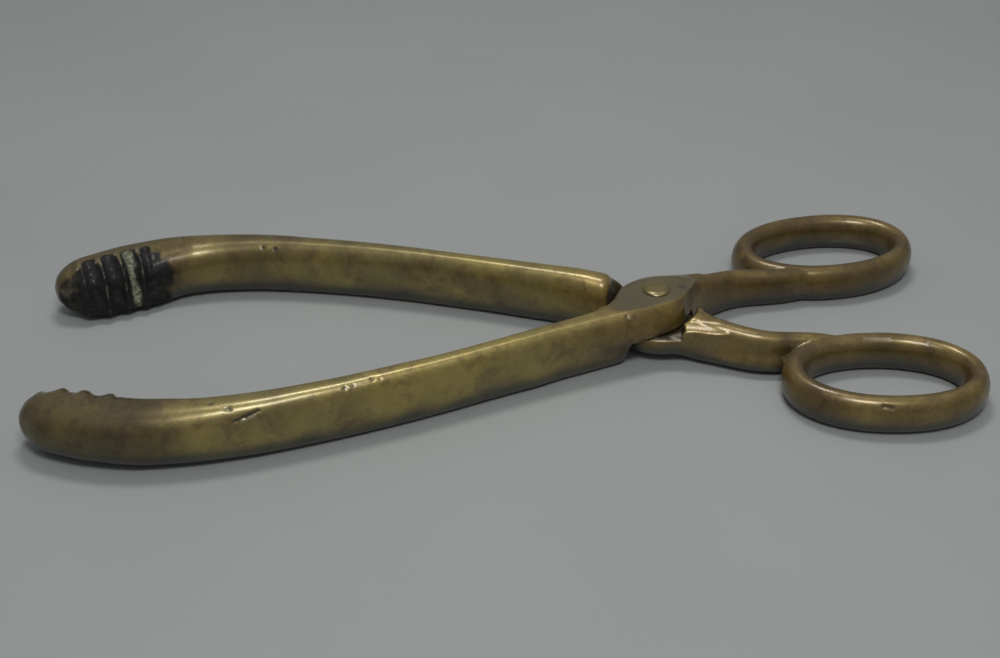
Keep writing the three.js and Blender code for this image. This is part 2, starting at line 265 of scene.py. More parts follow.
def field(plan, z, up, parts=False):
    """Signed distance of the lever, in mm, roughly true near its surface."""
    x, y, s, u, bow_u, bow_c, flat_d, lap_d = plan
    w, lo, hi, n = (np.interp(s, SX, k) for k in (WID, LOW, HIG, EXP))
    # arm and shank
    q = np.clip((TIP_X + TIP_ROUND - s) / TIP_ROUND, 0, None)
    q_end = np.clip((s - 38.0) / 15.0, 0, None)
    if up < 0:
        hi = hi - 1.3 * step(-22.0, -8.0, s) * step(6.0, 0.0, s) - 0.5 * step(8.0, 11.0, s) * step(26.0, 16.0, s) - 1.6 * step(4.0, 7.0, s) * step(16.5, 8.5, s)
    h, zc = (hi - lo) / 2, (hi + lo) / 2
    # the jaw narrows at its tip by the round end, not by the table
    wt = np.where(s < -157.0, np.maximum(w, 7.5), w)
    v = z - zc
    # the jaw's gripping side is squarer than its back, most of all below
    jaw = step(-128.0, -142.0, s) * step(-163.5, -155.0, s) * step(0.2, -0.3, u / wt)
    n = n + jaw * step(2.0, -3.0, v) * 1.2
    wt = wt + (1.9 if up < 0 else 0.2) * step(-129.0, -142.0, s) * step(-163.5, -158.0, s) * step(2.0, -4.5, v) * (u < 0)
    # beside the joint the arm is cut back below on its outer side, the shank is fuller there
    wt = wt - np.interp(s, TRIM_S, TRIM) * step(2.5, -3.5, v) * (u > 0)
    wt = wt + np.interp(s, FULL_S, FULL) * step(2.0, -3.0, v) * (u < 0)
    f = (np.abs(u / wt) ** n + np.abs(v / h) ** n + q ** 2.15 + q_end ** 2.0) ** (1 / n)
    p = np.sqrt(u * u + v * v + (q * TIP_ROUND) ** 2 + (q_end * 15.0) ** 2) + 1e-6
    arm = p - p / np.maximum(f, 1e-6)
    # ridges across the gripping face and up over its crown
    lean = s - (z - 8.5) * 0.05
    grip = step(0.40, -0.25, u / wt) if up < 0 else step(0.10, -0.60, u / wt)
    grip = grip * (1 - 0.68 * step(-1.5, -6.5, v)) * (1 if up < 0 else 1 - 0.45 * step(2.0, 7.0, v))
    arm = arm + np.interp(lean, SX, RIDGE[up]) * grip
    # joint block
    top = ZETA_TOP[up]
    zeta = (z - MID) * up
    r_at = lambda k: (1 - np.clip(k / FLAT_H, 0, 1) ** FLAT_N) ** (1 / FLAT_N)
    away = np.where(zeta > 0, zeta, -zeta * (top / 4.6 + 7.0 * step(2.0, -6.0, x)))
    if up < 0:
        # the near shank's shoulder carries on the top of the shank
        away = np.where(zeta > 0, away, np.maximum(away * step(6.0, 2.0, x), top * (np.clip(-zeta, 0, None) / 3.65) ** 2.5))
    beta = (r_at(np.clip(away, 0, top)) - r_at(top)) / (1 - r_at(top))
    block = (1 - beta) * flat_d + beta * lap_d
    block = sM(block * 0.93, away - top - 0.4 * (zeta > 0), 0.8)
    # the block never reaches past the other lever's shank shoulder
    rad = np.sqrt(x * x + y * y)
    ang = np.degrees(np.arctan2(y, x))
    rise = np.clip(zeta, 0, None)
    keep = LEDGE_R - 0.25 + (LEDGE_TOP_R - LEDGE_R) * rise / top
    other = step(-12.0, -6.0, ang) * step(80.0, 72.0, ang)
    block = np.where(rad > 6, sM(block, (rad - keep) * other - 3.0 * (1 - other), 0.6), block)
    body = sm(arm, block, 1.7 + (1.6 if up < 0 else 0.0) * step(5.0, 9.0, x) * step(22.0, 16.0, x) * step(9.4, 11.4, z))
    # finger bow
    bw = np.where(bow_c > 0, BOW["side"] + (BOW["toe"] - BOW["side"]) * bow_c ** 2, BOW["side"] + (BOW["heel"] - BOW["side"]) * bow_c ** 2) / 2
    bv = z - BOW["z_mid"]
    be = np.where(bow_u > 0, 2.05, 2.25)
    bf = (np.abs(bow_u / bw) ** be + np.abs(bv / (BOW["high"] / 2)) ** be) ** (1 / be)
    bp = np.sqrt(bow_u ** 2 + bv ** 2) + 1e-6
    bow = bp - bp / np.maximum(bf, 1e-6)
    crease = np.abs(body - bow)
    body = sm(body, bow, 1.5 - 1.1 * step(32.0, 40.0, x))
    # filed flats above and below
    d = sM(body, z - TOP, 0.45)
    d = sM(d, -z, 0.45)
    # the seat of the other lever's lap
    sector = step(-(SHANK_SECTOR[1] + 4), -(SHANK_SECTOR[1] - 3), ang) * step(-(SHANK_SECTOR[0] - 5), -(SHANK_SECTOR[0] + 2), ang)
    depth = np.clip(-zeta, 0, 12)
    cone = LEDGE_R + (LEDGE_TOP_R - LEDGE_R) * depth / 8.5
    wall = SHOULDER_R + (cone - SHOULDER_R) * sector + (2.2 if up < 0 else 0.0) * step(149.0, 128.0, ang) * step(60.0, 80.0, ang) * step(0.6, 6.5, -zeta)
    seat = sM(zeta - LAP_GAP, rad - wall, 0.5)
    d = sM(d, -seat, 1.0 + 1.6 * step(120, 135, np.abs(ang)) * step(1.0, 5.0, -zeta) * (rad > 8))
    # rivet hole, countersunk below in the lower lever
    hole = RIVET_HOLE_R - rad
    if up < 0:
        hole = np.maximum(hole, (RIVET_CSK_R + 0.06 - rad) - z * 0.93)
    d = np.maximum(d, hole)
    if parts:
        return d, dict(seat=seat, crease=crease, rad=rad, ang=ang, zeta=zeta, s=s, u=u, w=wt, lean=lean, grip=grip, bow=bow, bow_u=bow_u, body=body, hole=hole)
    return d


def surface_nets(F, origin, h):
    """Quads round the zero level of a sampled field."""
    neg = F < 0
    c = neg.astype(np.int8)
    total = sum(c[i:c.shape[0] - 1 + i, j:c.shape[1] - 1 + j, k:c.shape[2] - 1 + k] for i in (0, 1) for j in (0, 1) for k in (0, 1))
    active = (total > 0) & (total < 8)
    ijk = np.argwhere(active)
    index = np.full(active.shape, -1, np.int64)
    index[active] = np.arange(len(ijk))
    corners = np.array([(i, j, k) for i in (0, 1) for j in (0, 1) for k in (0, 1)])
    vals = np.stack([F[ijk[:, 0] + a, ijk[:, 1] + b, ijk[:, 2] + e] for a, b, e in corners], 1)
    pos, count = np.zeros((len(ijk), 3)), np.zeros(len(ijk))
    for a in range(8):
        for b in range(a + 1, 8):
            if np.abs(corners[a] - corners[b]).sum() != 1:
                continue
            fa, fb = vals[:, a], vals[:, b]
            on = (fa < 0) != (fb < 0)
            t = np.where(on, fa / np.where(on, fa - fb, 1), 0)
            pos += on[:, None] * (corners[a] + t[:, None] * (corners[b] - corners[a]))
            count += on
    verts = origin + h * (ijk + pos / count[:, None])
    quads = []
    for axis in range(3):
        b, c_ = (axis + 1) % 3, (axis + 2) % 3
        lo = [slice(None)] * 3
        hi = [slice(None)] * 3
        lo[axis], hi[axis] = slice(0, -1), slice(1, None)
        change = neg[tuple(lo)] != neg[tuple(hi)]
        e = np.argwhere(change)
        e = e[(e[:, b] > 0) & (e[:, c_] > 0) & (e[:, b] < F.shape[b] - 1) & (e[:, c_] < F.shape[c_] - 1)]
        ring = []
        for db, dc in ((-1, -1), (0, -1), (0, 0), (-1, 0)):
            p = e.copy()
            p[:, b] += db
            p[:, c_] += dc
            ring.append(index[p[:, 0], p[:, 1], p[:, 2]])
        q = np.stack(ring, 1)
        inside_low = neg[e[:, 0], e[:, 1], e[:, 2]]
        q[~inside_low] = q[~inside_low][:, ::-1]
        quads.append(q)
    return verts, np.concatenate(quads)


def vertex_normals(v, q):
    n = np.cross(v[q[:, 2]] - v[q[:, 0]], v[q[:, 3]] - v[q[:, 1]])
    out = np.zeros_like(v)
    for k in range(3):
        out[:, k] = sum(np.bincount(q[:, c], n[:, k], len(v)) for c in range(4))
    return out / np.maximum(np.linalg.norm(out, axis=1, keepdims=True), 1e-12)


def relax(v, q, amount):
    total, count = np.zeros_like(v), np.zeros(len(v))
    for a, b in ((0, 1), (1, 2), (2, 3), (3, 0)):
        for i, j in ((a, b), (b, a)):
            count += np.bincount(q[:, i], minlength=len(v))
            for k in range(3):
                total[:, k] += np.bincount(q[:, i], v[q[:, j], k], len(v))
    return v + amount * (total / np.maximum(count, 1)[:, None] - v)


def waves(p, wavelength, seed, count=9):
    """Smooth wandering values of about -1 to 1, the same on every run."""
    rng = np.random.default_rng(seed)
    out = np.zeros(len(p))
    for _ in range(count):
        d = rng.normal(size=3)
        d /= np.linalg.norm(d)
        out += np.sin(p @ d * (2 * np.pi / (wavelength * rng.uniform(0.7, 1.5))) + rng.uniform(0, 6.28))
    return out / math.sqrt(count)


def build_lever(side, up, plan, h):
    zs = np.arange(-1.2, 18.4, h)
    cols = np.argwhere(plan.foot)
    i, j = cols[:, 0], cols[:, 1]
    p2 = [plan.x[i], plan.y[j]] + [f[i, j] for f in (plan.S, plan.U, plan.B, plan.BC, plan.T, plan.L)]
    F = np.full((len(plan.x), len(plan.y), len(zs)), 2.0, np.float32)
    for k in range(0, len(i), 20000):
        part = [a[k:k + 20000, None] for a in p2]
        F[i[k:k + 20000], j[k:k + 20000]] = field(part, zs[None, :], up)
    v, q = surface_nets(F, np.array([plan.x[0], plan.y[0], zs[0]]), h)

    def value(pts):
        return field(plan.at(pts[:, 0], pts[:, 1]), pts[:, 2], up)

    def onto(pts):
        e = 0.06
        f = value(pts)
        g = np.stack([value(pts + d) - value(pts - d) for d in (np.eye(3) * e)], 1) / (2 * e)
        move = -f[:, None] * g / np.maximum((g * g).sum(1, keepdims=True), 0.15)
        size = np.linalg.norm(move, axis=1, keepdims=True)
        return pts + move * np.minimum(1, 0.5 * h / np.maximum(size, 1e-9))

    v = onto(v)
    for _ in range(2):
        v = onto(relax(v, q, 0.6))
    v = onto(v)
    _, info = field(plan.at(v[:, 0], v[:, 1]), v[:, 2], up, parts=True)
    v[:, 1] *= side
    if side < 0:
        q = q[:, ::-1]
    return v, q, info


# ------------------------------------------------------------------ meshes
def to_object(name, v, q, values):
    """A mesh object from points in mm and quads, with point values for its material."""
    mesh = bpy.data.meshes.new(name)
    mesh.vertices.add(len(v))
    mesh.vertices.foreach_set("co", (v * 0.001).astype(np.float32).ravel())
    mesh.loops.add(q.size)
    mesh.loops.foreach_set("vertex_index", q.astype(np.int32).ravel())
    mesh.polygons.add(len(q))
    mesh.polygons.foreach_set("loop_start", np.arange(0, q.size, 4, dtype=np.int32))
    mesh.update(calc_edges=True)
    mesh.validate()
    mesh.shade_smooth()
    for key, val in values.items():
        a = mesh.attributes.new(key, "FLOAT", "POINT")
        a.data.foreach_set("value", np.asarray(val, np.float32))
    obj = bpy.data.objects.new(name, mesh)
    bpy.context.scene.collection.objects.link(obj)
    return obj


def bump(v, centre, radii, power=2.0):
    """1 at centre, falling smoothly to 0 at the given radii (one number or x, y, z)."""
    d = (v - np.asarray(centre, float)) / np.asarray(radii, float)
    r = np.sqrt((d * d).sum(1))
    return np.clip(1 - r ** power, 0, 1) ** 2


def line_mark(v, a, b, width):
    """1 along the segment from a to b, falling to 0 at width."""
    a, b = np.asarray(a, float), np.asarray(b, float)
    ab = b - a
    t = np.clip((v - a) @ ab / (ab @ ab), 0, 1)
    d = np.linalg.norm(v - (a + t[:, None] * ab), axis=1)
    return np.clip(1 - (d / width) ** 2, 0, 1)


def finish_lever(name, side, up, plan, h):
    v, q, info = build_lever(side, up, plan, h)
    n = vertex_normals(v, q)
    s, u, w = info["s"], info["u"], info["w"]
    # curvature: above 0 on edges, below 0 in hollows
    bend = -((relax(v, q, 1.0) - v) * n).sum(1) / (h * h)
    for _ in range(3):
        bend = relax(np.repeat(bend[:, None], 3, 1), q, 0.7)[:, 0]
    lap = (np.abs(info["zeta"]) < 0.6) & (info["rad"] < 14.5)
    on_seat = np.clip(1 - np.abs(info["seat"]) / 0.22, 0, 1)
    free = 1 - np.maximum(step(0.6, 0.1, np.abs(info["zeta"])) * (info["rad"] < 14.5), on_seat)
    flat_d = polygon_distance(v[:, 0], v[:, 1] / side, closed_curve(FLAT * np.array([1.0, -1.0]), 120)) if up > 0 else 9.0
    on_flat = step(TOP - 0.22, TOP - 0.05, v[:, 2]) * step(0.9, -0.5, flat_d) * step(-17.5, -12.5, v[:, 0] - 0.5 * v[:, 1] * side * 0.4)
    # the wander of hand filing and casting
    push = 0.060 * waves(v, 34, 11) + 0.022 * waves(v, 13, 12) + 0.005 * waves(v, 5.0, 13)
    push = push * free * (1 - 0.75 * on_flat)
    arm_free = step(-20, -30, v[:, 0])
    inner = step(0.5, -0.1, u / w)
    jaw = step(-137.5, -141.5, info["lean"])
    push -= 0.10 * np.clip(waves(v, 2.2, 14), -0.2, 2) * jaw * inner * free
    v = v + n * np.minimum(push, 0.09)[:, None]
    v[:, 2] = np.clip(v[:, 2], 0.0, TOP)
    groove = np.interp(info["lean"], SX, RIDGE[up]) * info["grip"] / GROOVE_DEPTH
    facing = step(-0.05, -0.45, u / w + 0.06 * waves(v, 5, 22)) if up < 0 else step(-0.72, -0.95, u / w)
    if up < 0:
        facing = np.maximum(facing, 0.95 * step(0.10, 0.35, groove) * step(-139, -141, info["lean"]))
    crest = np.zeros(len(v))
    if up < 0:
        for r in RIDGES[up]:
            crest = np.maximum(crest, np.exp(-((info["lean"] - r) / 0.42) ** 2))
        crest = crest * step(0.30, 0.05, u / w) * np.clip(0.6 + 0.5 * waves(v, 3.0, 24), 0.15, 1)
        facing = facing * (1 - 0.30 * step(-159.8, -161.4, info["lean"]))
    soot = step(-130.0, -141.5, info["lean"] + 1.8 * waves(v, 8, 21) + 1.1 * waves(v, 3.2, 23)) * facing * (s < -100)
    # painted shade and a painted reflection of the grey floor low on the downward-facing sides, then how thick the
    # brown patina lies: thin where hands and cloths rub
    z = v[:, 2]
    underside_painted_shade_reflection = step(8.5, 2.0, z + 0.8 * waves(v, 9, 61)) * step(0.35, -0.25, n[:, 2])
    places = [-168, -140, -118, -60, -30, -12, 6, 14, 28, 34, 44, 85]
    amount = [1.05, 0.95, 0.30, 0.08, 0.24, 0.48, 0.58, 0.70, 0.76, 0.72, 0.66, 0.66] if up > 0 else [1.05, 0.95, 0.62, 0.30, 0.30, 0.55, 0.42, 0.28, 0.34, 0.80, 0.34, 0.44]
    age = np.interp(v[:, 0] + 5 * waves(v, 30, 62), places, amount)
    ring = (v[:, 0] > 30) & (np.abs(info["bow"]) < 1.0)
    # painted shade: the inner walls of the finger bows are darkened by adding to the patina amount
    bow_hole_painted_shade = ring * step(0.1, -0.5, info["bow_u"])
    age = age + 0.16 * bow_hole_painted_shade
    # dark in the hollows: partly dirt in the crevices, partly painted shade
    hollow_dirt_and_shade = np.clip(-bend * 1.6, 0, 1)
    edge = np.clip(bend * 1.6 - 0.15, 0, 1)
    crease = np.exp(-(info["crease"] / 0.9) ** 2) * (v[:, 0] > 24)
    tip = step(-138, -160, s)
    values = dict(soot=soot, hollow_dirt_and_shade=hollow_dirt_and_shade, edge=edge, crease=crease, seat=on_seat, filed=on_flat, crest=crest, warm=step(-34.0, -2.0, v[:, 0]), tip=tip, groove=groove, underside_painted_shade_reflection=underside_painted_shade_reflection, age=np.clip(age + 0.10 * waves(v, 16, 63), 0, 1))
    return v, q, n, info, values


# ------------------------------------------------------------------ materials
class Nodes:
    """Short calls for a material's node tree."""

    def __init__(self, name):
        self.mat = bpy.data.materials.new(name)
        self.mat.use_nodes = True
        self.tree = self.mat.node_tree
        self.tree.nodes.clear()
        self.out = self.new("ShaderNodeOutputMaterial")
        self.bsdf = self.new("ShaderNodeBsdfPrincipled")
        self.link(self.bsdf.outputs[0], self.out.inputs[0])
        co = self.new("ShaderNodeTexCoord")
        mm = self.new("ShaderNodeVectorMath")
        mm.operation = "SCALE"
        self.link(co.outputs["Object"], mm.inputs[0])
        mm.inputs["Scale"].default_value = 1000.0
        self.co = mm.outputs[0]

    def new(self, kind):
        return self.tree.nodes.new(kind)

    def link(self, a, b):
        self.tree.links.new(a, b)

    def put(self, socket, value):
        if hasattr(value, "node"):
            self.link(value, socket)
        else:
            socket.default_value = value

    def attr(self, name):
        a = self.new("ShaderNodeAttribute")
        a.attribute_name = name
        return a.outputs["Fac"]

    def noise(self, scale, detail=3.0, rough=0.55, distortion=0.0, co=None, stretch=None, turn=None):
        n = self.new("ShaderNodeTexNoise")
        n.inputs["Scale"].default_value = scale
        n.inputs["Detail"].default_value = detail
        n.inputs["Roughness"].default_value = rough
        n.inputs["Distortion"].default_value = distortion
        co = co or self.co
        if stretch or turn:
            m = self.new("ShaderNodeMapping")
            m.inputs["Scale"].default_value = stretch or (1, 1, 1)
            m.inputs["Rotation"].default_value = turn or (0, 0, 0)
            self.link(co, m.inputs[0])
            co = m.outputs[0]
        self.link(co, n.inputs["Vector"])
        return n.outputs["Fac"]

    def cells(self, scale, feature="F1", co=None, which="Distance"):
        n = self.new("ShaderNodeTexVoronoi")
        n.feature = feature
        n.inputs["Scale"].default_value = scale
        self.link(co or self.co, n.inputs["Vector"])
        return n.outputs[which]

    def ramp(self, value, a, b, lo=0.0, hi=1.0, smooth=True):
        n = self.new("ShaderNodeMapRange")
        n.interpolation_type = "SMOOTHSTEP" if smooth else "LINEAR"
        self.put(n.inputs["Value"], value)
        n.inputs["From Min"].default_value, n.inputs["From Max"].default_value = a, b
        n.inputs["To Min"].default_value, n.inputs["To Max"].default_value = lo, hi
        return n.outputs[0]

    def math(self, op, a, b=0.0, clamp=False):
        n = self.new("ShaderNodeMath")
        n.operation = op
        n.use_clamp = clamp
        self.put(n.inputs[0], a)
        self.put(n.inputs[1], b)
        return n.outputs[0]

    def mix(self, fac, a, b, mode="MIX"):
        n = self.new("ShaderNodeMix")
        n.data_type = "RGBA"
        n.blend_type = mode
        self.put(n.inputs["Factor"], fac)
        for socket, value in ((n.inputs[6], a), (n.inputs[7], b)):
            self.put(socket, value if hasattr(value, "node") else (*value, 1.0))
        return n.outputs[2]

    def height(self, value, distance, strength=1.0, normal=None):
        n = self.new("ShaderNodeBump")
        n.inputs["Strength"].default_value = strength
        n.inputs["Distance"].default_value = distance
        self.link(value, n.inputs["Height"])
        if normal is not None:
            self.link(normal, n.inputs["Normal"])
        return n.outputs[0]


def brass(name, marks=True, tone=1.0):
    """Old cast brass: mottled golden olive and brown patina, worn satin, fine pits and scratches."""
    k = Nodes(name)
    gold = tuple(c * tone for c in (0.315, 0.250, 0.070))
    olive = tuple(c * tone for c in (0.225, 0.186, 0.060))
    brown = tuple(c * tone for c in (0.150, 0.092, 0.036))
    dull = tuple(c * tone for c in (0.098, 0.088, 0.050))
    big = k.ramp(k.noise(0.045, 3, 0.55), 0.38, 0.62)
    mid = k.ramp(k.noise(0.15, 5, 0.66, 0.5), 0.47, 0.70)
    small = k.noise(0.85, 4, 0.6)
    fine = k.noise(4.2, 3, 0.6)
    col = k.mix(big, gold, olive)
    col = k.mix(k.math("MULTIPLY", mid, 0.78), col, brown)
    col = k.mix(1.0, col, k.mix(k.ramp(small, 0.3, 0.7), (0.92, 0.92, 0.93), (1.07, 1.06, 1.05)), "MULTIPLY")
    col = k.mix(1.0, col, k.mix(k.ramp(fine, 0.3, 0.7), (0.93, 0.93, 0.93), (1.06, 1.06, 1.06)), "MULTIPLY")
    # casting pits: small dark dots in loose clusters
    where = k.ramp(k.noise(0.09, 3, 0.6), 0.5, 0.66)
    dots = k.ramp(k.cells(0.62), 0.17, 0.05)
    dots = k.math("MULTIPLY", dots, k.ramp(k.noise(0.31, 2, 0.5), 0.52, 0.62))
    dots = k.math("MULTIPLY", dots, k.ramp(where, 0, 1, 0.25, 1.0))
    tiny = k.math("MULTIPLY", k.ramp(k.cells(1.7), 0.2, 0.07), k.ramp(k.noise(0.5, 2, 0.5), 0.55, 0.65))
    pits = k.math("MAXIMUM", dots, k.math("MULTIPLY", tiny, 0.6))
    col = k.mix(k.math("MULTIPLY", pits, 0.60), col, (0.045, 0.038, 0.028))
    # scratches along and across
    scr = []
    for seed, (turn, stretch) in enumerate((((0, 0, 0.15), (0.05, 1.5, 1.5)), ((0, 0, -0.45), (0.07, 2.1, 2.1)), ((0, 0.3, 0.9), (0.09, 1.9, 1.9)))):
        f = k.noise(1.6 + 0.35 * seed, 2, 0.5, 0.0, stretch=stretch, turn=turn)
        scr.append(k.ramp(k.math("ABSOLUTE", k.math("SUBTRACT", f, 0.5)), 0.012, 0.0))
    scratch = k.math("MAXIMUM", k.math("MAXIMUM", scr[0], scr[1]), scr[2])
    scratch = k.math("MULTIPLY", scratch, k.ramp(k.noise(0.2, 2, 0.5), 0.45, 0.6))
    col = k.mix(k.math("MULTIPLY", scratch, 0.22), col, (0.62, 0.52, 0.30))
    rough = k.ramp(small, 0.25, 0.75, 0.30, 0.38)
    rough = k.math("ADD", rough, k.math("MULTIPLY", mid, 0.06))
    rough = k.math("ADD", rough, k.math("MULTIPLY", pits, 0.3))
    rough = k.math("ADD", rough, k.math("MULTIPLY", scratch, 0.08))
    if marks:
        edge, hollow_dirt_and_shade, soot = k.attr("edge"), k.attr("hollow_dirt_and_shade"), k.attr("soot")
        crease, seat, filed, tip = k.attr("crease"), k.attr("seat"), k.attr("filed"), k.attr("tip")
        verd, stain, bare_metal_and_painted_highlight = k.attr("verdigris"), k.attr("stain"), k.attr("bare_metal_and_painted_highlight")
        underside_painted_shade_reflection, age = k.attr("underside_painted_shade_reflection"), k.attr("age")
        col = k.mix(k.attr("warm"), col, k.mix(1.0, col, (0.97, 0.86, 0.78), "MULTIPLY"))
        aged = k.ramp(k.math("ADD", age, k.math("MULTIPLY", k.math("SUBTRACT", k.noise(0.11, 4, 0.6), 0.5), 0.9)), 0.1, 0.95)
        col = k.mix(k.math("MULTIPLY", aged, 0.92), col, k.mix(1.0, col, (0.34, 0.31, 0.33), "MULTIPLY"))
        rough = k.math("ADD", rough, k.math("MULTIPLY", aged, 0.05))
        # painted shade and painted floor reflection: the low, downward-facing sides turn dark blue-grey
        col = k.mix(k.math("MULTIPLY", underside_painted_shade_reflection, 0.80), col, (0.048, 0.052, 0.056))
        col = k.mix(k.math("MULTIPLY", edge, 0.22), col, (0.42, 0.34, 0.14))
        # hollows darkened: partly dirt in the crevices, partly painted shade
        col = k.mix(k.math("MULTIPLY", hollow_dirt_and_shade, 0.6), col, (0.040, 0.033, 0.022))
        rough = k.math("ADD", rough, k.math("MULTIPLY", tip, 0.09))
        col = k.mix(k.math("MULTIPLY", filed, 0.78), col, dull)
        rough = k.math("ADD", rough, k.math("MULTIPLY", filed, 0.10))
        col = k.mix(k.math("MULTIPLY", seat, 0.9), col, (0.035, 0.029, 0.022))
        rough = k.math("ADD", rough, k.math("MULTIPLY", seat, 0.12))
        # pale marks: worn bare metal on filed strips and scuffs, pale lines along the jaw's ridge crests, and painted
        # highlights on the jaw's ridge tops and on the near bow's nicks
        col = k.mix(bare_metal_and_painted_highlight, col, (0.34, 0.335, 0.265))
        rough = k.math("ADD", rough, k.math("MULTIPLY", bare_metal_and_painted_highlight, 0.12))
        col = k.mix(stain, col, (0.022, 0.020, 0.020))
        black = k.mix(k.ramp(k.noise(0.7, 4, 0.6), 0.35, 0.7), (0.006, 0.006, 0.006), (0.022, 0.020, 0.020))
        sooty = k.ramp(k.math("ADD", soot, k.math("MULTIPLY", k.math("SUBTRACT", k.noise(0.30, 4, 0.65), 0.5), 0.9)), 0.25, 0.80)
        sooty = k.math("MULTIPLY", sooty, k.ramp(soot, 0.0, 0.4))
        col = k.mix(sooty, col, black)
        rough = k.math("ADD", rough, k.math("MULTIPLY", sooty, 0.22))
        green = k.mix(k.ramp(k.noise(1.1, 4, 0.7), 0.35, 0.65), (0.10, 0.11, 0.072), (0.36, 0.375, 0.27))
        col = k.mix(verd, col, green)
        rough = k.math("ADD", rough, k.math("MULTIPLY", verd, 0.5), clamp=True)
    k.link(col, k.bsdf.inputs["Base Color"])
    k.link(k.math("MINIMUM", rough, 0.95), k.bsdf.inputs["Roughness"])
    k.bsdf.inputs["Metallic"].default_value = 0.50
    k.bsdf.inputs["Coat Weight"].default_value = 0.60
    if marks:
        # soot dulls the lacquer-like skin
        k.link(k.math("SUBTRACT", 0.60, k.math("MULTIPLY", sooty, 0.48)), k.bsdf.inputs["Coat Weight"])
    k.bsdf.inputs["Coat Roughness"].default_value = 0.19
    k.bsdf.inputs["Coat IOR"].default_value = 1.5
    h = k.math("MULTIPLY", small, 0.22)
    h = k.math("ADD", h, k.math("MULTIPLY", fine, 0.13))
    h = k.math("SUBTRACT", h, k.math("MULTIPLY", pits, 1.1))
    h = k.math("SUBTRACT", h, k.math("MULTIPLY", scratch, 0.12))
    if marks:
        rubble = k.math("MULTIPLY", k.noise(2.4, 4, 0.7), k.math("ADD", k.math("MULTIPLY", verd, 2.5), k.math("MULTIPLY", sooty, 0.8)))
        h = k.math("ADD", h, rubble)
    k.link(k.height(h, 0.000045, 0.8), k.bsdf.inputs["Normal"])
    return k.mat


# ------------------------------------------------------------------ the object
plan = Plan(PITCH)
brass_levers = brass("lever_brass")
brass_rivet = brass("rivet_brass", marks=False, tone=0.54)

